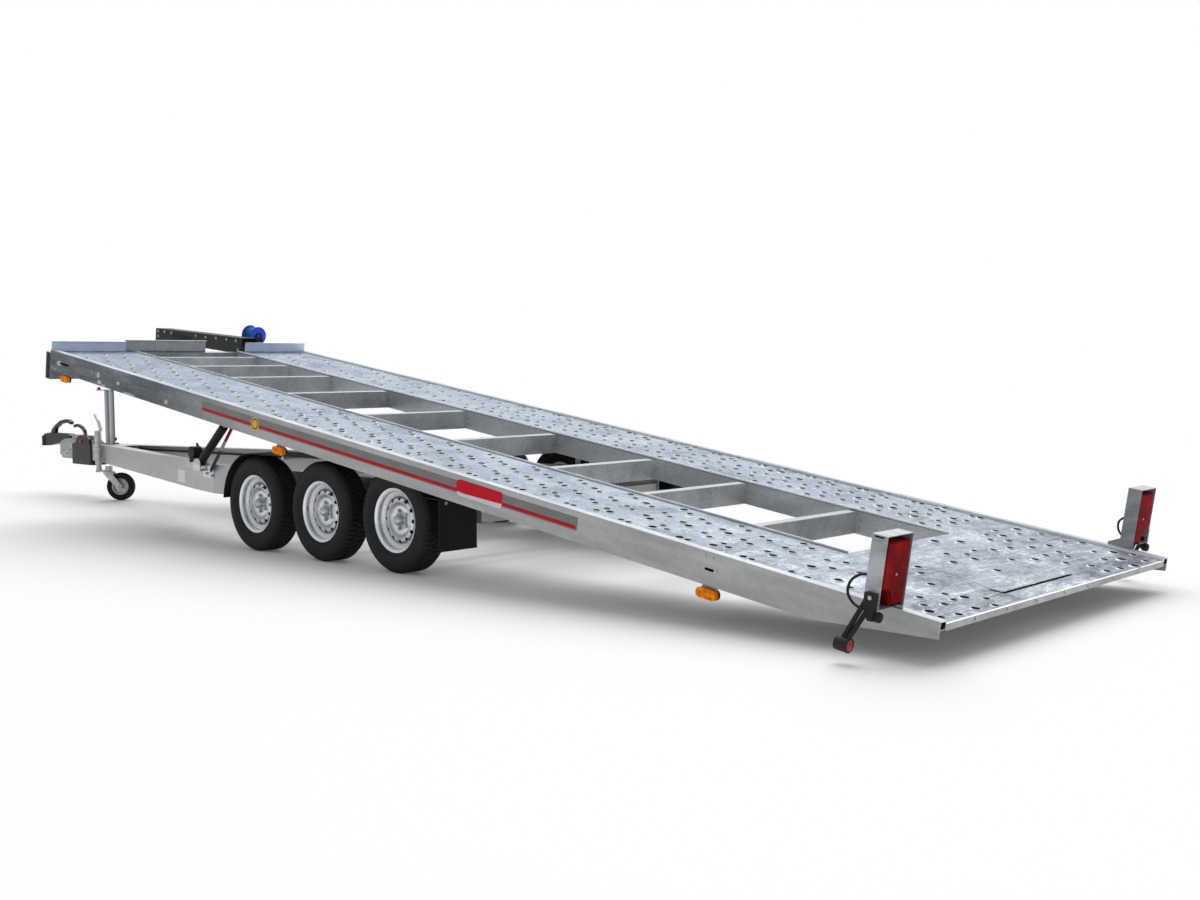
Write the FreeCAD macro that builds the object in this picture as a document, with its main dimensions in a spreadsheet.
import FreeCAD, Part
import math
import os
import Sketcher
from FreeCAD import Placement, Rotation, Vector

# Tri-axle tilt bed car transporter trailer, in millimetres.
# Chassis pieces are drawn in the chassis frame: X forward from the middle axle, Y to the left,
# Z up from the floor. Bed pieces are drawn in the bed frame, whose origin is the tilt pivot and
# whose X runs forward along the deck. Every piece then gets its frame's Placement.

doc = FreeCAD.newDocument("tilt_bed_trailer")
sheet = doc.addObject("Spreadsheet::Sheet", "dims")

# alias, value or the formula that ties it to others, what it is
SIZES = [
    ("wheel_spacing", 756, "from axle to axle"),
    ("tyre_radius", 320, "tread radius, and the wheel centre's height"),
    ("tyre_width", 188, "widest part of the tyre"),
    ("tyre_plane", "=bed_width / 2 - 141.5", "tyre's middle plane from the centre line"),
    ("rim_radius", 195, "outer radius of the rim flange"),
    ("rim_width", 150, "over both rim flanges"),
    ("hub_bore", 33, "radius of the hole in the wheel disc"),
    ("drum_radius", 128, "brake drum"),
    ("arm_length", 150, "torsion arm, axle tube to wheel centre"),
    ("axle_tube_side", 70, "square axle tube"),
    ("beam_bottom", 300, "underside of the chassis beams"),
    ("beam_height", 218, "height of the chassis beams"),
    ("beam_outer", "=tyre_plane - 268", "outer face of a chassis beam from the centre line"),
    ("beam_flange", 60, "flange width of the chassis beams"),
    ("sheet_wall", 4, "thickness of the folded sheet parts"),
    ("beam_rear", 1150, "rear end of the chassis beams behind the middle axle"),
    ("drawbar_joint", 1850, "where the drawbar arms meet the beams"),
    ("nose_rear", 4700, "rear end of the nose box"),
    ("nose_front", 5300, "front end of the nose box"),
    ("nose_width", 150, "width of the nose box"),
    ("nose_height", 160, "height of the nose box"),
    ("coupling_tip", 6490, "front of the coupling head"),
    ("ball_radius", 25, "standard 50 mm coupling ball"),
    ("post_side", 65, "square winch post"),
    ("post_at", 5080, "winch post's centre"),
    ("post_top", 1040, "top plate of the winch post"),
    ("jockey_at", 4976, "jockey tube's axis"),
    ("jockey_side", 175, "jockey tube's axis from the centre line"),
    ("jockey_radius", 130, "jockey wheel"),
    ("jockey_width", 80, "jockey wheel"),
    ("jockey_trail", 205, "jockey wheel's axle behind the swivel axis"),
    ("jockey_turn", 43.4, "the castor's heading, in degrees from straight ahead"),
    ("pivot_at", 900, "tilt pivot behind the middle axle"),
    ("pivot_height", 440, "tilt pivot above the floor"),
    ("pivot_radius", 30, "tilt pivot shaft"),
    ("tilt", 8.6, "bed nose up, in degrees"),
    ("bed_front", 4610, "deck's front edge ahead of the pivot"),
    ("bed_length", 8128, "deck from front edge to tail edge"),
    ("bed_width", 2435, "over the side beams"),
    ("deck_top", 257, "deck surface above the pivot, square to the deck"),
    ("side_depth", 150, "side beam below the deck surface"),
    ("rail_width", 50, "tube along the top of a side beam"),
    ("rail_height", 40, "tube along the top of a side beam"),
    ("rail_lip", 14, "how far the side tube stands above the deck"),
    ("track_inner", 500, "inner edge of a track from the centre line"),
    ("lip_height", 12, "turned up inner edge of a track"),
    ("tail_start", 7210, "front edge of the full width tail plate"),
    ("tail_kink", 7500, "where the side beam starts to taper"),
    ("tail_depth", 61, "side beam's depth at the tail edge"),
    ("tail_lip", 32, "rear edge of the tail plate, folded down"),
    ("member_depth", 136, "underside of the cross members below the deck"),
    ("member_flange", 50, "flange of the cross members"),
    ("rail_flange", 40, "flange of the inner rails"),
    ("channel_depth", 80, "front channel, along the bed"),
    ("channel_height", 220, "front channel"),
    ("board_height", 85, "headboards above the deck"),
    ("lamp_at", 7865, "front of a lamp bracket behind the deck's front edge"),
    ("lamp_height", 345, "top of a lamp bracket above the deck"),
    ("lamp_depth", 74, "lamp bracket along the bed"),
    ("lamp_width", 200, "lamp bracket across the bed"),
    ("mudguard_inner", "=tyre_plane - 176", "mudguard's inner edge from the centre line"),
    ("mudguard_outer", "=tyre_plane + 109", "mudguard's outer edge from the centre line"),
    ("mudguard_radius", 340, "mudguard arch round a wheel centre"),
    ("marker_width", 38, "side marker lamps across the trailer"),
    ("cylinder_side", "=beam_outer + 62", "hydraulic cylinders from the centre line"),
    ("cylinder_low_at", 1930, "lower cylinder pin ahead of the middle axle"),
    ("cylinder_low_height", 535, "lower cylinder pin above the floor"),
    ("clevis_at", 2352, "upper cylinder pin ahead of the pivot"),
    ("clevis_height", 175, "upper cylinder pin above the pivot, square to the deck"),
    ("barrel_radius", 32, "hydraulic barrel"),
    ("barrel_length", 430, "lower pin to the barrel's gland"),
    ("rod_radius", 15, "piston rod"),
]


class Size:
    """A length that carries its value and the sheet formula that gives it."""

    def __init__(self, value, formula):
        self.value = value
        self.formula = formula

    def join(self, sign, other, value):
        return Size(value, f"({self.formula} {sign} {other.formula})")

    def __add__(self, other):
        other = as_size(other)
        return self.join("+", other, self.value + other.value)

    def __radd__(self, other):
        return as_size(other) + self

    def __sub__(self, other):
        other = as_size(other)
        return self.join("-", other, self.value - other.value)

    def __rsub__(self, other):
        return as_size(other) - self

    def __mul__(self, other):
        other = as_size(other)
        return self.join("*", other, self.value * other.value)

    def __rmul__(self, other):
        return as_size(other) * self

    def __truediv__(self, other):
        other = as_size(other)
        return self.join("/", other, self.value / other.value)

    def __neg__(self):
        return Size(-self.value, f"(0 - {self.formula})")


def as_size(number):
    return number if isinstance(number, Size) else Size(float(number), f"({float(number)})")


class Dims:
    """The sheet's cells by name: dims.bed_width is a Size."""


dims = Dims()
for row, (alias, _, note) in enumerate(SIZES, start=1):
    sheet.set(f"A{row}", alias)
    sheet.setAlias(f"B{row}", alias)
    sheet.set(f"C{row}", note)
for row, (_, number, _) in enumerate(SIZES, start=1):
    sheet.set(f"B{row}", str(number))
doc.recompute()
for alias, _, _ in SIZES:
    setattr(dims, alias, Size(float(sheet.get(alias)), f"dims.{alias}"))

sub_parts = []


# ---------------------------------------------------------------- frames

tilt = math.radians(dims.tilt.value)
tail_x = (dims.bed_front - dims.bed_length).value
rail_top = dims.deck_top + dims.rail_lip
tail_reach = dims.pivot_at.value - tail_x * math.cos(tilt) + rail_top.value * math.sin(tilt)
middle = (dims.coupling_tip.value - tail_reach) / 2

CHASSIS = Placement(Vector(-middle, 0, 0), Rotation())
BED = Placement(
    Vector(-dims.pivot_at.value - middle, 0, dims.pivot_height.value),
    Rotation(Vector(0, 1, 0), -dims.tilt.value),
)


# ---------------------------------------------------------------- making shapes

def bind(obj, prop, size):
    """The property follows the sheet."""
    obj.setExpression(prop, as_size(size).formula)


def bind_base(obj, x, y, z, prop="Placement"):
    for letter, size in zip("xyz", (x, y, z)):
        bind(obj, f"{prop}.Base.{letter}", size)


def block(x, y, z, length, width, height):
    """A box from its low corner."""
    box = doc.addObject("Part::Box", "block")
    bind(box, "Length", length)
    bind(box, "Width", width)
    bind(box, "Height", height)
    bind_base(box, x, y, z)
    return box


TURNS = {
    "X": Rotation(Vector(0, 1, 0), 90),
    "Y": Rotation(Vector(1, 0, 0), -90),
    "Z": Rotation(),
}


def rod(axis, x, y, z, radius, length):
    """A cylinder that starts at x, y, z and runs along +axis."""
    cylinder = doc.addObject("Part::Cylinder", "rod")
    cylinder.Placement = Placement(Vector(), TURNS[axis])
    bind(cylinder, "Radius", radius)
    bind(cylinder, "Height", length)
    bind_base(cylinder, x, y, z)
    return cylinder


def cut(base, *tools):
    for tool in tools:
        made = doc.addObject("Part::Cut", "cut")
        made.Base = base
        made.Tool = tool
        base = made
    return base


def tube(axis, x, y, z, radius, wall, length):
    """A round tube; its bore runs a little past both ends."""
    spare = {letter: (1 if letter == axis else 0) for letter in "XYZ"}
    bore = rod(axis, x - spare["X"], y - spare["Y"], z - spare["Z"], radius - wall, length + 2)
    return cut(rod(axis, x, y, z, radius, length), bore)


def weld(*pieces):
    """One solid from pieces that overlap or touch."""
    made = doc.addObject("Part::MultiFuse", "weld")
    made.Shapes = list(pieces)
    made.Refine = True
    return made


def mirrored(piece):
    """The same piece on the other side of the centre line."""
    made = doc.addObject("Part::Mirroring", "mirrored")
    made.Source = piece
    made.Normal = Vector(0, 1, 0)
    return made


def group(*pieces):
    made = doc.addObject("Part::Compound", "group")
    made.Links = list(pieces)
    return made


def pair(*pieces):
    """The pieces, and each of them again on the other side."""
    return group(*pieces, *[mirrored(piece) for piece in pieces])


# plane: origin plane's role, and which way its normal runs along the frame's axis
PLANES = {"XY": ("XY_Plane", 1), "YZ": ("YZ_Plane", 1), "XZ": ("XZ_Plane", -1)}


def draw(body, plane, points, circles=()):
    """A closed outline, each corner held by its two distances, and round holes in it."""
    sketch = body.newObject("Sketcher::SketchObject", "outline")
    role = PLANES[plane][0]
    sketch.AttachmentSupport = [(next(f for f in body.Origin.OriginFeatures if f.Role == role), "")]
    sketch.MapMode = "FlatFace"
    corners = [(as_size(a), as_size(b)) for a, b in points]
    places = [Vector(a.value, b.value, 0) for a, b in corners]
    for k, place in enumerate(places):
        sketch.addGeometry(Part.LineSegment(place, places[(k + 1) % len(places)]), False)
    for k in range(len(places)):
        sketch.addConstraint(Sketcher.Constraint("Coincident", k, 2, (k + 1) % len(places), 1))
    for k, corner in enumerate(corners):
        hold(sketch, k, 1, corner)
    for a, b, radius in circles:
        centre = (as_size(a), as_size(b))
        radius = as_size(radius)
        middle_point = Vector(centre[0].value, centre[1].value, 0)
        circle = Part.Circle(middle_point, Vector(0, 0, 1), radius.value)
        index = sketch.addGeometry(circle, False)
        hold(sketch, index, 3, centre)
        held = sketch.addConstraint(Sketcher.Constraint("Radius", index, radius.value))
        bind(sketch, f"Constraints[{held}]", radius)
    return sketch


def hold(sketch, index, vertex, corner):
    for kind, size in zip(("DistanceX", "DistanceY"), corner):
        held = sketch.addConstraint(Sketcher.Constraint(kind, -1, 1, index, vertex, size.value))
        bind(sketch, f"Constraints[{held}]", size)


def prism(plane, points, start, length, circles=()):
    """A body with this outline, padded from start to start + length across the plane."""
    body = doc.addObject("PartDesign::Body", "prism")
    sketch = draw(body, plane, points, circles)
    low = -(as_size(start) + length) if PLANES[plane][1] < 0 else as_size(start)
    bind(sketch, "AttachmentOffset.Base.z", low)
    pad = body.newObject("PartDesign::Pad", "pad")
    pad.Profile = sketch
    bind(pad, "Length", length)
    sketch.Visibility = False
    return body


def turned(points):
    """A body turned about Y; the outline's points are (radius, place along Y)."""
    body = doc.addObject("PartDesign::Body", "turned")
    sketch = draw(body, "XY", points)
    spin = body.newObject("PartDesign::Revolution", "spin")
    spin.Profile = sketch
    spin.ReferenceAxis = (sketch, ["V_Axis"])
    spin.Angle = 360
    return body


def keep(name, frame, piece):
    """A finished sub-part: its name, and its frame's place. A piece's own place comes first."""
    piece.Label = name
    piece.Placement = frame.multiply(piece.Placement)
    sub_parts.append(piece)
    return piece


def channel(low, high, outer, flange, wall, side=1):
    """Corners of a C section in (Y, Z): web at outer, flanges towards the centre line."""
    inner = outer - side * flange
    web = outer - side * wall
    return [
        (outer, low), (outer, high), (inner, high), (inner, high - wall),
        (web, high - wall), (web, low + wall), (inner, low + wall), (inner, low),
    ]


# ---------------------------------------------------------------- wheels and axles

axles = [("front", 1), ("middle", 0), ("rear", -1)]     # name, places ahead of the middle axle
sides = [("left", 1), ("right", -1)]                    # name, sign of Y

half_tyre = dims.tyre_width / 2
half_rim = dims.rim_width / 2
rim_gap = 0.3
disc_at = 18             # wheel disc's inboard face, outboard of the tyre's middle plane


def tyre():
    """Carcass and tread, from bead to bead round the rim."""
    seat = dims.rim_radius - 17
    tread = dims.tyre_radius
    bead = seat + 20
    # the widest place and the shoulder, in 142nds of the side wall's height
    widest, shoulder = (seat + (tread - seat) * part / 142 for part in (62, 100))
    return turned([
        (seat, -half_rim + 12), (bead, -half_rim + 12 - 8), (widest, -half_tyre),
        (shoulder, -half_tyre + 3), (tread - 8, -half_tyre + 17), (tread, -half_tyre + 30),
        (tread, half_tyre - 30), (tread - 8, half_tyre - 17), (shoulder, half_tyre - 3),
        (widest, half_tyre), (bead, half_rim - 12 + 8), (seat, half_rim - 12),
    ])


def rim():
    """Steel wheel: well, two flanges, and a dished disc with a hub bore. The disc is outboard."""
    wall = 5
    seat = dims.rim_radius - 17 - rim_gap
    well = seat - 28
    inside = well - wall
    bore = dims.hub_bore
    return turned([
        # tyre side, from the inboard flange to the outboard one
        (dims.rim_radius, -half_rim), (dims.rim_radius, -half_rim + wall),
        (seat, -half_rim + 11), (seat, -half_rim + 34), (well, -half_rim + 52),
        (well, half_rim - 46), (seat, half_rim - 34), (seat, half_rim - 11),
        (dims.rim_radius, half_rim - wall), (dims.rim_radius, half_rim),
        (seat - wall, half_rim - 11), (seat - wall, half_rim - 34),
        # the disc, out to the hub bore and back
        (inside, half_rim - 46), (inside, disc_at + 8), (inside - 18, disc_at + 20),
        (bore + 76, disc_at + 24), (bore + 50, disc_at + 6), (bore, disc_at + 6),
        (bore, disc_at), (bore + 52, disc_at), (bore + 78, disc_at + 18),
        (inside - 20, disc_at + 14), (inside, disc_at),
        # inside of the well
        (inside, -half_rim + 52), (seat - wall, -half_rim + 34), (seat - wall, -half_rim + 11),
    ])


def vented(wheel, count, along):
    """The steel wheel with its ring of round vents through the disc."""
    holes = []
    for k in range(count):
        turn = 2 * math.pi * k / count
        ring = dims.hub_bore + 96
        holes.append(rod("Y", ring * math.cos(turn), -along, ring * math.sin(turn), 13, 2 * along))
    return cut(wheel, weld(*holes))


for axle_name, place in axles:
    for side_name, side in sides:
        centre = (place * dims.wheel_spacing, side * dims.tyre_plane, dims.tyre_radius)
        spot = Placement(Vector(*[size.value for size in centre]),
                         Rotation(Vector(0, 0, 1), 0 if side > 0 else 180))
        for kind, made in (("tyre", tyre()), ("rim", vented(rim(), 12, half_rim))):
            made.Placement = spot
            keep(f"{kind}_{axle_name}_{side_name}", CHASSIS, made)

axle_height = dims.beam_bottom - dims.axle_tube_side / 2 - 6
tube_end = dims.beam_outer + 62
drum_face = dims.tyre_plane + disc_at - rim_gap
drum_depth = 74
arm_thickness = 34

tubes = []
saddles = []
arms = []
drums = []
for axle_name, place in axles:
    wheel_x = place * dims.wheel_spacing
    tube_x = wheel_x + dims.arm_length
    half = dims.axle_tube_side / 2
    tubes.append(block(tube_x - half, -tube_end, axle_height - half,
                       dims.axle_tube_side, 2 * tube_end, dims.axle_tube_side))
    saddles.append(block(tube_x - 70, dims.beam_outer - dims.beam_flange, dims.beam_bottom - 6,
                         140, dims.beam_flange, 6))
    top = dims.tyre_radius + 38
    arms.append(prism("XZ", [
        (tube_x + half, axle_height - half), (tube_x + half, axle_height + half),
        (wheel_x + 30, top), (wheel_x - 38, top), (wheel_x - 38, top - 76),
        (tube_x - half, axle_height - half),
    ], tube_end, arm_thickness))
    drum_start = drum_face - drum_depth
    drum = rod("Y", wheel_x, drum_start, dims.tyre_radius, dims.drum_radius, drum_depth)
    neck = rod("Y", wheel_x, tube_end + arm_thickness, dims.tyre_radius, 42,
               drum_start - tube_end - arm_thickness)
    spigot = rod("Y", wheel_x, drum_face, dims.tyre_radius, dims.hub_bore - 0.5, 34)
    drums.append(weld(drum, neck, spigot))
keep("axle_tubes", CHASSIS, group(*tubes))
keep("axle_saddles", CHASSIS, pair(*saddles))
keep("axle_arms", CHASSIS, pair(*arms))
keep("brake_drums", CHASSIS, pair(*drums))


# ---------------------------------------------------------------- chassis frame

beam_top = dims.beam_bottom + dims.beam_height
keep("chassis_beams", CHASSIS, pair(
    prism("YZ", channel(dims.beam_bottom, beam_top, dims.beam_outer, dims.beam_flange,
                        dims.sheet_wall),
          -dims.beam_rear, dims.beam_rear + dims.drawbar_joint)))

beam_inside = dims.beam_outer - dims.sheet_wall
cross_tubes = [           # centre ahead of the middle axle, height of the centre
    (1780, 400),
    (540, 400),
    (-300, 400),
    (-1105, 400),
]
cross_half = 30
members = [block(x - cross_half, -beam_inside, z - cross_half,
                 2 * cross_half, 2 * beam_inside, 2 * cross_half) for x, z in cross_tubes]
members.append(rod("Y", -dims.pivot_at, -beam_inside, dims.pivot_height, dims.pivot_radius,
                   2 * beam_inside))
keep("chassis_crossmembers", CHASSIS, group(*members))

nose_top = beam_top
nose_bottom = nose_top - dims.nose_height
nose_half = dims.nose_width / 2
arm_length = dims.nose_front - 60 - dims.drawbar_joint
arm_nose = dims.drawbar_joint + arm_length


def arm_outer(x):
    """Outer face of the drawbar arm at this place."""
    drop = (dims.beam_outer - nose_half - dims.sheet_wall) / arm_length
    return dims.beam_outer - drop * (x - dims.drawbar_joint)


def drawbar_arm():
    """One side of the drawbar: a tall folded channel that comes in from the beam to the nose."""
    wall = dims.sheet_wall
    web = [
        (dims.drawbar_joint, dims.beam_outer), (arm_nose, nose_half + wall),
        (arm_nose, nose_half), (dims.drawbar_joint, dims.beam_outer - wall),
    ]
    flange = [
        (dims.drawbar_joint, dims.beam_outer), (arm_nose, nose_half + wall), (arm_nose, nose_half),
        (dims.nose_rear, nose_half), (dims.drawbar_joint, dims.beam_outer - dims.beam_flange),
    ]
    plates = [
        prism("XY", web, dims.beam_bottom, dims.beam_height),
        prism("XY", flange, beam_top - wall, wall),
        prism("XY", flange, dims.beam_bottom, wall),
    ]
    # the lower edge rises towards the nose
    slope = prism("XZ", [
        (dims.drawbar_joint + 400, dims.beam_bottom - 1), (arm_nose + 1, dims.beam_bottom - 1),
        (arm_nose + 1, nose_bottom),
    ], 0, dims.beam_outer)
    return cut(weld(*plates), slope)


keep("drawbar_arms", CHASSIS, pair(drawbar_arm()))

nose_wall = 6
nose_length = dims.nose_front - dims.nose_rear
nose = cut(
    block(dims.nose_rear, -nose_half, nose_bottom, nose_length, dims.nose_width, dims.nose_height),
    block(dims.nose_rear - 1, nose_wall - nose_half, nose_bottom + nose_wall,
          nose_length - nose_wall + 1, dims.nose_width - 2 * nose_wall,
          dims.nose_height - 2 * nose_wall))
keep("drawbar_nose", CHASSIS, group(nose))


# ---------------------------------------------------------------- overrun coupling

def arc(x, z, radius, first, last, steps):
    """Points (X, Z) on an arc, angles in degrees from +X towards +Z."""
    angles = [math.radians(first + (last - first) * k / steps) for k in range(steps + 1)]
    return [(x + radius * math.cos(a), z + radius * math.sin(a)) for a in angles]


def bow(x, z, radius, width, first, last, steps, start, thickness):
    """A curved flat bar in the XZ plane."""
    outline = arc(x, z, radius + width / 2, first, last, steps)
    outline += arc(x, z, radius - width / 2, last, first, steps)
    return prism("XZ", outline, start, thickness)


def softened(piece, radius, chosen):
    """The piece with its chosen edges rounded."""
    piece.recompute(True)
    made = doc.addObject("Part::Fillet", "softened")
    made.Base = piece
    made.Edges = [(k, radius, radius) for k, edge in enumerate(piece.Shape.Edges, start=1)
                  if chosen(edge)]
    return made


def upright(edge):
    return abs(edge.tangentAt(edge.FirstParameter).z) > 0.99


cover_length = 445
cover_half = 84
cover_low = nose_top - 209
cover_front = dims.nose_front + cover_length
keep("nose_cover", CHASSIS, group(softened(block(
    dims.nose_front, -cover_half, cover_low, cover_length, 2 * cover_half, 200), 44, upright)))

shaft_height = nose_top + 30
shaft_radius = 28
housing_top = nose_top + 72
housing_half = 36
head_radius = 52
head_at = dims.coupling_tip - head_radius
head_low = nose_top - 58
head_top = nose_top + 76
head_rear = head_at - 597
yoke = 8
yoke_inner = 40
yoke_outline = [
    (cover_front + 50, nose_top - 165), (cover_front + 250, nose_top - 165),
    (cover_front + 310, nose_top - 120), (cover_front + 300, nose_top - 10),
    (cover_front + 200, nose_top + 26), (cover_front + 20, nose_top + 36),
    (cover_front + 20, nose_top - 4),
]
block_length = cover_length + 34
keep("overrun_shaft", CHASSIS, group(weld(
    prism("YZ", [
        (-56, nose_top - 9), (56, nose_top - 9), (56, nose_top + 6),
        (housing_half, nose_top + 30), (housing_half - 8, housing_top),
        (8 - housing_half, housing_top), (-housing_half, nose_top + 30), (-56, nose_top + 6),
    ], dims.nose_front + 30, block_length),
    prism("XZ", yoke_outline, yoke_inner, yoke),
    prism("XZ", yoke_outline, -yoke_inner - yoke, yoke),
    block(cover_front + 10, -yoke_inner - 1, nose_top - 4, 30, 2 * yoke_inner + 2, 40),
    rod("X", cover_front, 0, shaft_height, shaft_radius, head_rear - cover_front))))

ball_depth = 40
head = weld(
    prism("XZ", [
        (head_rear, nose_top - 2), (head_rear + 270, nose_top - 18), (head_at - 200, nose_top - 44),
        (head_at, head_low), (head_at, nose_top + 60), (head_at - 120, head_top),
        (head_rear + 60, head_top), (head_rear, nose_top + 58),
    ], -36, 72),
    rod("Z", head_at, 0, head_low, head_radius, 100),
)
ball_socket = rod("Z", head_at, 0, head_low - 1, dims.ball_radius, ball_depth + 1)
keep("coupling_head", CHASSIS, group(cut(head, ball_socket)))

# the handle's outline, from its foot up and back, behind the ball and above the nose
handle = [
    (-210, 76), (-120, 76), (-142, 110), (-220, 157), (-330, 201), (-448, 219), (-520, 216),
    (-571, 196), (-560, 168), (-505, 182), (-448, 185), (-330, 167), (-232, 124),
]
keep("coupling_handle", CHASSIS, group(prism(
    "XZ", [(head_at + x, nose_top + z) for x, z in handle], -16, 32)))

# the brake lever's foot and its bow, ahead of the nose box and above it
brake_foot = [(54, -9), (352, -9), (330, 40), (250, 76), (130, 82), (60, 40)]
brake_bow = [
    (128, 60), (135, 78), (150, 126), (200, 162), (260, 180), (304, 183), (350, 180), (385, 165),
    (376, 146), (340, 156), (300, 156), (245, 146), (200, 127), (172, 102), (168, 60),
]
brake_x = dims.nose_front
keep("handbrake_lever", CHASSIS, group(weld(*[
    prism("XZ", [(brake_x + x, nose_top + z) for x, z in outline], 56.3, 22)
    for outline in (brake_foot, brake_bow)])))


# ---------------------------------------------------------------- winch post

plate = 8
post_half = dims.post_side / 2
post_wall = 4
winch_holes = [(sx * 40, sy * 78) for sx in (-1, 1) for sy in (-1, 1)]
winch_hole_radius = 5.5
top_plate = prism("XY", [
    (dims.post_at - 58, -100), (dims.post_at + 58, -100),
    (dims.post_at + 58, 100), (dims.post_at - 58, 100),
], dims.post_top - plate, plate,
    [(dims.post_at + x, y, winch_hole_radius) for x, y in winch_holes])
post_length = dims.post_top - 2 * plate - nose_top
post = cut(
    block(dims.post_at - post_half, -post_half, nose_top + plate,
          dims.post_side, dims.post_side, post_length),
    block(dims.post_at - post_half + post_wall, -post_half + post_wall, nose_top + plate,
          dims.post_side - 2 * post_wall, dims.post_side - 2 * post_wall, post_length))
foot = block(dims.post_at - 60, -60, nose_top, 120, 120, plate)
keep("winch_post", CHASSIS, group(weld(foot, post, top_plate)))


# ---------------------------------------------------------------- jockey wheel

jockey_x, jockey_y = dims.jockey_at, dims.jockey_side
outer_radius = 31
inner_radius = 25
tube_low, tube_high = 345, 635
clamp_low, clamp_height = nose_top - 50, 30
bore = rod("Z", jockey_x, jockey_y, tube_low - 1, inner_radius + 0.8, tube_high - tube_low + 2)
keep("jockey_tube", CHASSIS, group(cut(weld(
    rod("Z", jockey_x, jockey_y, tube_low, outer_radius, tube_high - tube_low),
    rod("Z", jockey_x, jockey_y, clamp_low, outer_radius + 6, clamp_height),
    prism("XY", [
        (jockey_x - 34, arm_outer(jockey_x - 34)), (jockey_x + 34, arm_outer(jockey_x + 34)),
        (jockey_x + 30, jockey_y), (jockey_x - 30, jockey_y),
    ], clamp_low, clamp_height)), bore)))

leg_low, leg_high = 296, 575
keep("jockey_leg", CHASSIS, group(
    rod("Z", jockey_x, jockey_y, leg_low, inner_radius, leg_high - leg_low)))

cap_high = tube_high + 20
crank = prism("XZ", [
    (jockey_x - 50, cap_high - 8), (jockey_x + 12, cap_high - 8), (jockey_x - 40, cap_high + 14),
    (jockey_x + 2, cap_high + 86), (jockey_x + 62, cap_high + 148), (jockey_x + 46, cap_high + 160),
    (jockey_x - 24, cap_high + 100), (jockey_x - 76, cap_high + 14),
], jockey_y - 8, 16)
keep("jockey_crank", CHASSIS, group(weld(
    rod("Z", jockey_x, jockey_y, tube_high, outer_radius - 2, cap_high - tube_high), crank)))

# the castor is drawn heading straight ahead on its own swivel axis
CASTOR = CHASSIS.multiply(Placement(
    Vector(dims.jockey_at.value, dims.jockey_side.value, 0),
    Rotation(Vector(0, 0, 1), dims.jockey_turn.value)))
axle_x = -dims.jockey_trail
axle_z = dims.jockey_radius
cheek_gap = dims.jockey_width / 2 + 8
cheek = 6
fork_half = cheek_gap + cheek
knuckle_x = -95
knuckle_low, knuckle_high = 262, 322


def castor_cheek(start):
    return prism("XZ", [
        (knuckle_x + 36, knuckle_low - 6), (knuckle_x + 36, knuckle_low + 8),
        (knuckle_x - 30, knuckle_low + 8), (axle_x - 26, axle_z + 12), (axle_x - 20, axle_z - 20),
        (axle_x + 14, axle_z - 24),
    ], start, cheek)


keep("jockey_fork", CASTOR, group(weld(
    rod("Z", 0, 0, knuckle_low + 4, inner_radius + 3, leg_low - 0.3 - knuckle_low - 4),
    block(knuckle_x, -26, knuckle_low + 4, -knuckle_x, 52, 20),
    rod("Z", knuckle_x, 0, knuckle_low, 33, knuckle_high - knuckle_low),
    block(knuckle_x - 30, -fork_half, knuckle_low, 66, 2 * fork_half, 8),
    castor_cheek(cheek_gap), castor_cheek(-fork_half),
    rod("Y", axle_x, -cheek_gap - 1, axle_z, 10, 2 * cheek_gap + 2))))

jockey_half = dims.jockey_width / 2
jockey_seat = 78
spot = Placement(Vector(axle_x.value, 0, axle_z.value), Rotation())
jockey_tyre = turned([
    (jockey_seat, -jockey_half + 14), (jockey_seat + 12, -jockey_half + 4),
    (dims.jockey_radius - 20, -jockey_half), (dims.jockey_radius - 4, -jockey_half + 14),
    (dims.jockey_radius, -jockey_half + 26), (dims.jockey_radius, jockey_half - 26),
    (dims.jockey_radius - 4, jockey_half - 14), (dims.jockey_radius - 20, jockey_half),
    (jockey_seat + 12, jockey_half - 4), (jockey_seat, jockey_half - 14),
])
jockey_tyre.Placement = spot
keep("jockey_tyre", CASTOR, jockey_tyre)
jockey_rim = turned([
    (10.05, -jockey_half + 2), (24, -jockey_half + 2), (24, -8), (58, -8), (66, -jockey_half + 16),
    (jockey_seat - rim_gap, -jockey_half + 12), (jockey_seat - rim_gap, jockey_half - 12),
    (66, jockey_half - 16), (58, 8), (24, 8), (24, jockey_half - 2), (10.05, jockey_half - 2),
])
jockey_rim.Placement = spot
keep("jockey_rim", CASTOR, jockey_rim)


# ---------------------------------------------------------------- mudguards

guard_wall = 4
first_axle = dims.wheel_spacing.value
flap_at = -(first_axle + 440)
flap_top = 478


def guard_line(radius, tail):
    """The mudguard's section from front to rear at this radius round the wheel centres."""
    z = dims.tyre_radius.value
    front = arc(first_axle, z, radius, 4, 90, 8)
    rear = arc(-first_axle, z, radius, 90, 152, 6)
    return front + rear + [(flap_at, tail)]


guard_radius = dims.mudguard_radius.value
outline = guard_line(guard_radius + guard_wall, flap_top)
outline += guard_line(guard_radius, flap_top - guard_wall - 1)[::-1]
guard_width = dims.mudguard_outer - dims.mudguard_inner
keep("mudguards", CHASSIS, pair(prism("XZ", outline, dims.mudguard_inner, guard_width)))

flap = 6
keep("mud_flaps", CHASSIS, pair(block(
    flap_at - flap, dims.mudguard_inner - 8, flap_top - 308, flap, guard_width, 308)))

guard_under = dims.tyre_radius + dims.mudguard_radius
stay_radius = 12
stays = []
for x in (378, -378):
    bar = rod("Y", x, dims.beam_outer, guard_under - stay_radius, stay_radius,
              dims.mudguard_outer - dims.beam_outer - 10)
    plate_up = block(x - 25, dims.beam_outer, beam_top - 90, 50, 6, guard_under - beam_top + 90)
    stays.append(weld(bar, plate_up))
keep("mudguard_stays", CHASSIS, pair(*stays))


# ---------------------------------------------------------------- bed frame

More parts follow.
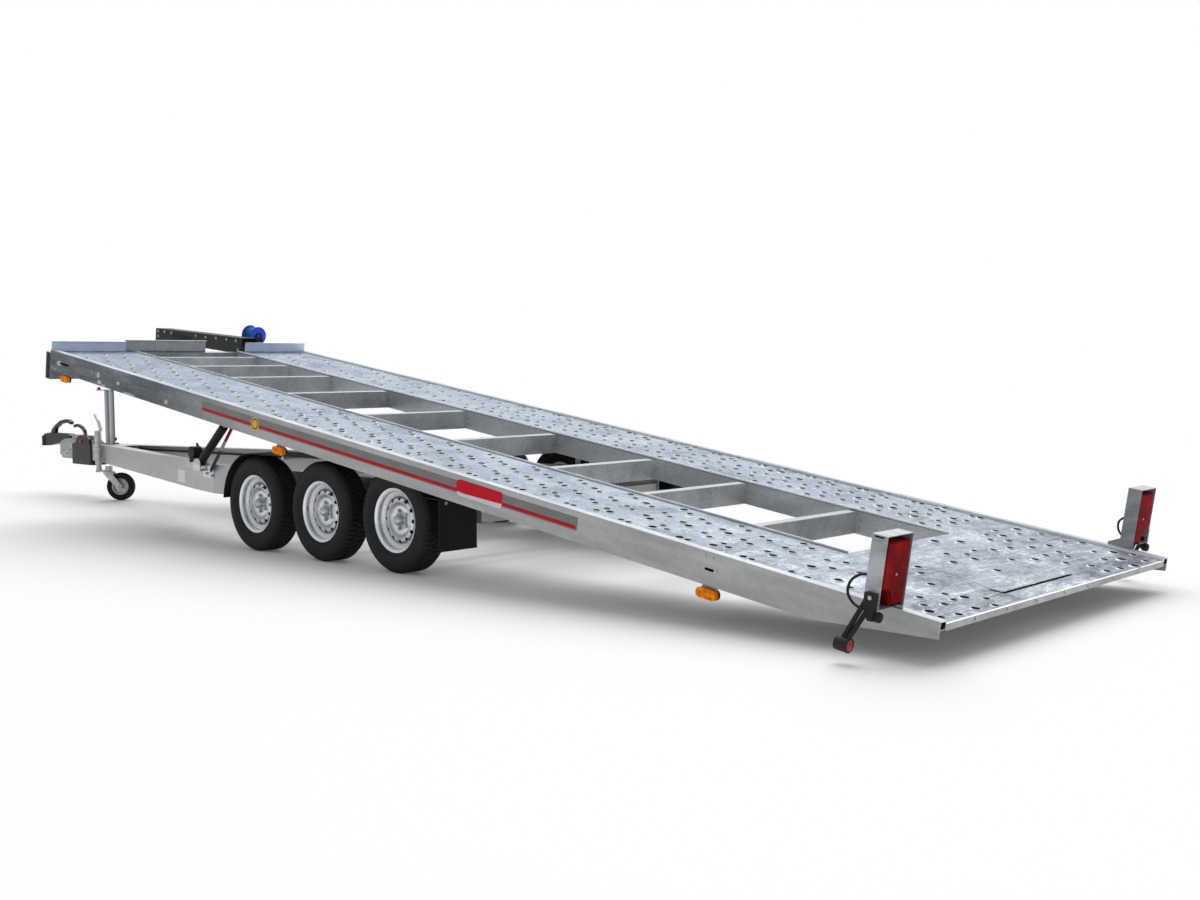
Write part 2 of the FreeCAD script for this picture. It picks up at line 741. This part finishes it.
deck = dims.deck_top
half_width = dims.bed_width / 2
tail = dims.bed_front - dims.bed_length
wall = dims.sheet_wall
rail_low = rail_top - dims.rail_height
rail_inner = half_width - dims.rail_width
side_low = deck - dims.side_depth
kink = dims.bed_front - dims.tail_kink

side_tube = cut(
    block(tail, rail_inner, rail_low, dims.bed_length, dims.rail_width, dims.rail_height),
    block(tail - 1, rail_inner + wall, rail_low + wall, dims.bed_length + 2,
          dims.rail_width - 2 * wall, dims.rail_height - 2 * wall))
side_web = prism("XZ", [
    (dims.bed_front, rail_low), (dims.bed_front, side_low), (kink, side_low),
    (tail, deck - dims.tail_depth), (tail, rail_low),
], half_width - wall, wall)
lip_end = kink + 20
side_lip = prism("XZ", [
    (dims.bed_front, side_low), (dims.bed_front, side_low + wall),
    (lip_end, side_low + wall), (lip_end, side_low),
], half_width - 25, 25 - wall / 2)
front_slot = block(dims.bed_front - 300, half_width - 20, deck - 78, 130, 40, 12)
keep("side_beams", BED, pair(cut(weld(side_tube, side_web, side_lip), front_slot)))

channel_top = deck - 10
channel_low = channel_top - dims.channel_height
keep("front_channel", BED, group(cut(
    block(dims.bed_front, -half_width, channel_low,
          dims.channel_depth, dims.bed_width, dims.channel_height),
    block(dims.bed_front + wall, -half_width - 1, channel_low + wall,
          dims.channel_depth - 2 * wall, dims.bed_width + 2, dims.channel_height - 2 * wall))))

plate_low = deck - wall
tail_front = dims.bed_front - dims.tail_start
keep("track_plates", BED, pair(prism("YZ", [
    (dims.track_inner - wall, plate_low), (rail_inner, plate_low), (rail_inner, deck),
    (dims.track_inner, deck), (dims.track_inner, deck + dims.lip_height),
    (dims.track_inner - wall, deck + dims.lip_height),
], tail_front, dims.tail_start)))

tail_low = deck - dims.tail_lip
hook_slot = block(tail + 122, -280, plate_low - 1, 12, 700, wall + 2)
keep("tail_plate", BED, group(cut(prism("XZ", [
    (tail_front, plate_low), (tail_front, deck), (tail, deck), (tail, tail_low),
    (tail + 30, tail_low), (tail + 30, tail_low + wall), (tail + wall, tail_low + wall),
    (tail + wall, plate_low),
], -rail_inner, 2 * rail_inner), hook_slot)))

member_low = deck - dims.member_depth
rail = prism("YZ", channel(member_low, plate_low, dims.track_inner, dims.rail_flange, wall, -1),
             tail_front, dims.tail_start)
lug_wall = 12
lug_top = member_low + wall
lug_reach = dims.pivot_radius + 20
lug = prism("XZ", [
    (-140, lug_top), (140, lug_top), (lug_reach, -15), (28, -lug_reach), (-28, -lug_reach),
    (-lug_reach, -15),
], dims.track_inner + wall, lug_wall, [(0, 0, dims.pivot_radius + 0.05)])
keep("inner_rails", BED, pair(weld(rail, lug)))


def member(place, low, high, start, length):
    """A cross member: web at the rear, flanges forward; place is behind the deck's front edge."""
    rear = dims.bed_front - place
    front = rear + dims.member_flange
    return prism("XZ", [
        (rear, low), (front, low), (front, low + wall), (rear + wall, low + wall),
        (rear + wall, high - wall), (front, high - wall), (front, high), (rear, high),
    ], start, length)


# places behind the deck's front edge of the members between the inner rails, and of those
# under the tracks, which leave the wheels free
CENTRE_MEMBERS = (340, 850, 1460, 2240, 3180, 4150, 5070, 5820, 6620)
CYLINDER_MEMBER = 2335
OUTER_MEMBERS = (340, 850, 1460, CYLINDER_MEMBER, 5070, 5820, 6620)
pieces = [member(place, member_low, deck - 6, -dims.track_inner, 2 * dims.track_inner)
          for place in CENTRE_MEMBERS]
outer_start = dims.track_inner + wall
for place in OUTER_MEMBERS:
    outer = member(place, member_low + wall + 1, plate_low - wall - 1,
                   outer_start, rail_inner - outer_start)
    pieces += [outer, mirrored(outer)]
for place, depth in ((7262, 136), (7740, 96)):
    pieces.append(member(place, deck - depth, plate_low, -rail_inner, 2 * rail_inner))
keep("cross_members", BED, group(*pieces))


# ---------------------------------------------------------------- headboards, boom and winch

def headboard(low, high, start, end, x):
    board = block(x - wall, start, low, wall, end - start, high - low)
    fold = block(x - 24, start, high - wall, 24, end - start, wall)
    return weld(board, fold)


board_top = deck + dims.board_height
front_x = dims.bed_front
side_board = weld(
    headboard(deck, board_top, 575, rail_inner - 1, front_x),
    headboard(rail_top, board_top, rail_inner - 2, half_width - 6, front_x))
centre_board = headboard(channel_top, deck + 94, -200, 560, front_x + 40)
keep("headboards", BED, group(side_board, mirrored(side_board), centre_board))

boom_left, boom_right = -540, -700
boom_wall = 5
boom_end = front_x + 1550
boom_web = [
    (front_x + 4, channel_top), (front_x + dims.channel_depth, channel_top),
    (front_x + 150, deck - 30), (boom_end, deck - 98), (boom_end, deck + 20),
    (front_x + 4, deck + 124),
]
boom_cap = [
    (front_x + 4, deck + 124 - boom_wall), (boom_end, deck + 20 - boom_wall),
    (boom_end, deck + 20), (front_x + 4, deck + 124),
]
window = block(boom_end - 680, boom_left - 2 * boom_wall, deck - 56, 340, 3 * boom_wall, 70)
keep("winch_boom", BED, group(cut(weld(
    prism("XZ", boom_web, boom_left - boom_wall, boom_wall),
    prism("XZ", boom_web, boom_right, boom_wall),
    prism("XZ", boom_cap, boom_right, boom_left - boom_right)), window)))

drum_radius = 85
drum_y = boom_right - drum_radius - 6
drum_z = deck + 128
drum_x = front_x + 128
drum_length = 152
keep("winch", BED, group(weld(
    block(drum_x - 8, boom_right - 176, deck - 10, 8, 176, 210),
    rod("X", drum_x, drum_y, drum_z, 20, drum_length + 10),
    rod("X", drum_x, drum_y, drum_z, drum_radius - 20, drum_length),
    rod("X", drum_x, drum_y, drum_z, drum_radius, 14),
    rod("X", drum_x + drum_length - 14, drum_y, drum_z, drum_radius, 14))))


# ---------------------------------------------------------------- lamps

lamp_front = dims.bed_front - dims.lamp_at
lamp_rear = lamp_front - dims.lamp_depth
lamp_top = deck + dims.lamp_height
lamp_wall = 3
lamp_inner = half_width - 18
lamp_outer = lamp_inner + dims.lamp_width
strip_low = deck - 15
plate_low_edge = deck + 62
outer_plate = prism("XZ", [
    (lamp_front, plate_low_edge), (lamp_front, lamp_top), (lamp_rear, lamp_top),
    (lamp_rear, strip_low), (lamp_rear + 18, strip_low), (lamp_rear + 18, plate_low_edge),
], lamp_outer - lamp_wall, lamp_wall)
inner_plate = block(lamp_rear, lamp_inner, rail_top, dims.lamp_depth, lamp_wall,
                    lamp_top - rail_top)
lamp_web = block(lamp_front - lamp_wall, lamp_inner, rail_top + 20,
                 lamp_wall, dims.lamp_width, lamp_top - rail_top - 20)
lamp_lid = block(lamp_rear, lamp_inner, lamp_top - lamp_wall,
                 dims.lamp_depth, dims.lamp_width, lamp_wall)
lamp_floor = block(lamp_rear, lamp_inner, rail_top + 20,
                   dims.lamp_depth, dims.lamp_width, lamp_wall)
lamp_foot = prism("XZ", [
    (lamp_rear, rail_top), (lamp_front + 64, rail_top), (lamp_front + 64, rail_top + 14),
    (lamp_front, rail_top + 46), (lamp_rear, rail_top + 46),
], lamp_inner, lamp_wall)
keep("lamp_brackets", BED, pair(weld(
    outer_plate, inner_plate, lamp_web, lamp_lid, lamp_floor, lamp_foot)))

glass_left = lamp_inner + lamp_wall + 6
glass_right = lamp_outer - lamp_wall - 6
glass_top = lamp_top - 30
glass_low = rail_top + 30
notch_size = 80
notch = [(glass_right - notch_size + x, glass_low + z)
         for x, z in arc(notch_size, 0, notch_size, 180, 90, 6)]
keep("tail_lamps", BED, pair(prism("YZ", [
    (glass_left, glass_low), (glass_right - notch_size, glass_low), *notch[1:],
    (glass_right, glass_top), (glass_left, glass_top),
], lamp_rear + 8, dims.lamp_depth - 8 - lamp_wall)))

def along(base, run, radius):
    """A cylinder from base along run."""
    cylinder = doc.addObject("Part::Cylinder", "along")
    bind(cylinder, "Radius", radius)
    bind(cylinder, "Height", run.Length)
    cylinder.Placement = Placement(base, Rotation(Vector(0, 0, 1), run))
    return cylinder


base_x = lamp_rear + 31
base_y = lamp_outer
base_height = deck + 46
arm_base = Vector(base_x.value + 4, base_y.value + 16, base_height.value + 26)
arm_run = Vector(84, 26, -204)
spread = 16
tip_length = 60
tip_x = base_x + arm_run.x - tip_length / 2
prongs = [along(arm_base + Vector(x, 0, 0), arm_run - Vector(0.3 * x, 0, 0), 11)
          for x in (-spread, spread)]
keep("outline_lamps", BED, pair(weld(
    prism("XZ", [
        (base_x - 24, base_height + 58), (base_x + 27, base_height + 58),
        (base_x + 27, base_height - 6), (base_x - 2, base_height - 56),
        (base_x - 24, base_height - 56),
    ], base_y, 28),
    *prongs,
    rod("X", tip_x, arm_base.y + arm_run.y, arm_base.z + arm_run.z, 31, tip_length))))

# places of the marker lamps behind the deck's front edge
MARKERS = (272, 3330, 6925)
markers = []
for place in MARKERS:
    x = dims.bed_front - place
    lamp_y = half_width - 24
    lens = softened(block(x - 60, lamp_y, side_low - 62, 120, dims.marker_width, 48), 20,
                    lambda edge: abs(edge.tangentAt(edge.FirstParameter).y) > 0.99)
    plate = block(x - 46, lamp_y + 6, side_low - 30, 92, 4, 30)
    markers.append(weld(lens, plate))
keep("side_markers", BED, pair(*markers))


# ---------------------------------------------------------------- lamp leads

lead_radius = 6
lead_top = 62


def lead_route(sign):
    """Out of the bracket's front, round in one loop and back along the bracket's strip."""
    start_x = lamp_front.value
    end_x = lamp_rear.value + 8
    strip_side = -lamp_wall - lead_radius - 0.3
    steps = [
        (start_x, -44, lead_top), (start_x + 48, -44, lead_top), (start_x + 92, -30, 26),
        (start_x + 92, -14, -30), (start_x + 44, strip_side, -72), (end_x, strip_side, -72),
    ]
    return [Vector(x, sign * (lamp_outer.value + y), base_height.value + 50 + z)
            for x, y, z in steps]


def lead(points):
    """A tube along straight runs joined by tangent arcs, each as large as its runs allow."""
    edges = []
    radii = []
    here = points[0]
    for before, corner, after in zip(points, points[1:], points[2:]):
        into = corner - before
        out = after - corner
        half_turn = into.getAngle(out) / 2
        reach = 0.45 * min(into.Length, out.Length)
        into.normalize()
        out.normalize()
        radii.append(reach / math.tan(half_turn))
        inward = (out - into).normalize()
        rise = radii[-1] / math.cos(half_turn) - radii[-1]
        start = corner - into * reach
        end = corner + out * reach
        edges.append(Part.LineSegment(here, start).toShape())
        edges.append(Part.Arc(start, corner + inward * rise, end).toShape())
        here = end
    edges.append(Part.LineSegment(here, points[-1]).toShape())
    path = Part.Wire(edges)
    print("lead: length", round(path.Length), "bend radii", [round(value) for value in radii])
    ring = Part.Wire(Part.Circle(points[0], points[1] - points[0], lead_radius).toShape())
    return path.makePipeShell([ring], True, False)


leads = doc.addObject("Part::Feature", "leads")
leads.Shape = Part.makeCompound([lead(lead_route(sign)) for sign in (1, -1)])
keep("lamp_leads", BED, leads)


# ---------------------------------------------------------------- tilt cylinders

def bed_point(x, z):
    """A bed frame place (X, Z) in the chassis frame."""
    return (x * math.cos(tilt) - z * math.sin(tilt) - dims.pivot_at.value,
            x * math.sin(tilt) + z * math.cos(tilt) + dims.pivot_height.value)


eye_x, eye_z = bed_point(dims.clevis_at.value, dims.clevis_height.value)
low_x, low_z = dims.cylinder_low_at.value, dims.cylinder_low_height.value
reach = math.hypot(eye_x - low_x, eye_z - low_z)
lean = -math.degrees(math.atan2(eye_z - low_z, eye_x - low_x))

bracket_low, bracket_high = 470, 530
plate_low_z = 412
ear = 6
eye_half = 25
ear_inner = dims.cylinder_side - eye_half - 1 - ear
ear_outer = dims.cylinder_side + eye_half + 1
low_at = dims.cylinder_low_at
shelf_rear, shelf_front = low_at + 32, low_at + 150


def on_arm(start, end, low, high, thickness):
    """A plate that lies on the outer face of a drawbar arm."""
    return prism("XY", [
        (start, arm_outer(start)), (end, arm_outer(end)),
        (end, arm_outer(end) + thickness), (start, arm_outer(start) + thickness),
    ], low, high - low)


def shelf_slice(low, high):
    return prism("XY", [
        (shelf_rear, arm_outer(shelf_rear)), (shelf_front, arm_outer(shelf_front)),
        (shelf_front, ear_outer + ear), (shelf_rear, ear_outer + ear),
    ], low, high - low)


def low_ear(start):
    z = dims.cylinder_low_height
    return prism("XZ", [
        (low_at - 40, bracket_low), (shelf_rear + 30, bracket_low), (shelf_rear + 30, bracket_high),
        (low_at + 26, z + 26), (low_at - 20, z + 30), (low_at - 40, z + 10),
    ], start, ear)


pin_radius = 12.5
floor_plate = block(low_at - 40, ear_inner, bracket_low, 102, ear_outer + ear - ear_inner, ear)
pin = rod("Y", low_at, ear_inner, dims.cylinder_low_height, pin_radius,
          ear_outer + ear - ear_inner)
keep("cylinder_brackets", CHASSIS, pair(weld(
    on_arm(dims.drawbar_joint + 1, shelf_front, plate_low_z, bracket_high, ear),
    shelf_slice(bracket_high - ear, bracket_high),
    shelf_slice(bracket_high - 30, bracket_high - 30 + ear),
    low_ear(ear_inner), low_ear(ear_outer), floor_plate, pin)))

pump_radius = 44
pump_x = low_at + 112
pump_height = bracket_high + 75
keep("hydraulic_pump", CHASSIS, group(weld(
    rod("Y", pump_x, ear_inner - 26, pump_height, pump_radius, 74),
    block(pump_x - 36, ear_inner - 20, bracket_high, 70, 62, 40))))

buffer_x = 1380
keep("bed_buffers", CHASSIS, pair(block(
    buffer_x, dims.beam_outer - 48, beam_top, 50, 40, 62)))

clevis_z = dims.clevis_height
member_web = dims.bed_front - CYLINDER_MEMBER + wall
clevis_inner = dims.cylinder_side - 60
clevis_outer = dims.cylinder_side + eye_half + 5
keep("cylinder_clevises", BED, pair(*[prism("XZ", [
    (member_web, clevis_z - 44), (dims.clevis_at + 4, clevis_z - 36),
    (dims.clevis_at + 34, clevis_z - 14), (dims.clevis_at + 34, clevis_z + 14),
    (dims.clevis_at + 4, clevis_z + 36), (member_web, clevis_z + 62),
], start, ear) for start in (clevis_inner, clevis_outer)]))

rod_length = 360
lug_length, lug_half = 48, 20
lock_length = 698
# how much steeper than its cylinder a lock arm stands, in degrees
lock_lean = 8
for side_name, side in sides:
    frame = CHASSIS.multiply(Placement(
        Vector(low_x, side * dims.cylinder_side.value, low_z), Rotation(Vector(0, 1, 0), lean)))
    barrel = weld(
        rod("X", lug_length, 0, 0, dims.barrel_radius, dims.barrel_length - lug_length),
        block(0, -lug_half, -lug_half, lug_length + 1, 2 * lug_half, 2 * lug_half),
        rod("Y", 0, -eye_half, 0, 26, 2 * eye_half))
    keep(f"cylinder_barrel_{side_name}", frame, group(cut(
        barrel,
        rod("X", 55, 0, 0, dims.rod_radius + 0.05, dims.barrel_length),
        rod("Y", 0, -eye_half - 1, 0, pin_radius + 0.05, 2 * eye_half + 2))))
    inward = -1 if side > 0 else 1
    boss_start = min(20 * inward, 38 * inward)
    piston = weld(
        rod("X", reach - rod_length, 0, 0, dims.rod_radius, rod_length - 10),
        rod("Y", reach, -22, 0, 24, 44),
        rod("Y", reach, boss_start, 0, 10, 18))
    keep(f"cylinder_rod_{side_name}", frame, group(piston))
    plate_start = min(38 * inward, (38 + ear) * inward)
    lock = weld(
        block(-lock_length + 15, plate_start, -15, lock_length - 15, ear, 30),
        rod("Y", 0, plate_start, 0, 20, ear))
    lock_frame = frame.multiply(Placement(
        Vector(reach, 0, 0), Rotation(Vector(0, 1, 0), lock_lean)))
    keep(f"lock_arm_{side_name}", lock_frame, group(lock))


# ---------------------------------------------------------------- checking and writing

doc.recompute()
faults = [f"{o.Name} ({o.Label}): {o.State}" for o in doc.Objects
          if "Invalid" in o.State or "Error" in o.State]
faults += [piece.Label for piece in sub_parts if piece.Shape.isNull() or not piece.Shape.isValid()]
if faults:
    raise RuntimeError("failed: " + "; ".join(faults))
os.makedirs("parts", exist_ok=True)
for piece in sub_parts:
    piece.Shape.exportStep(f"parts/{piece.Label}.step")
    print(piece.Label, len(piece.Shape.Solids), round(piece.Shape.Volume / 1e6, 3))
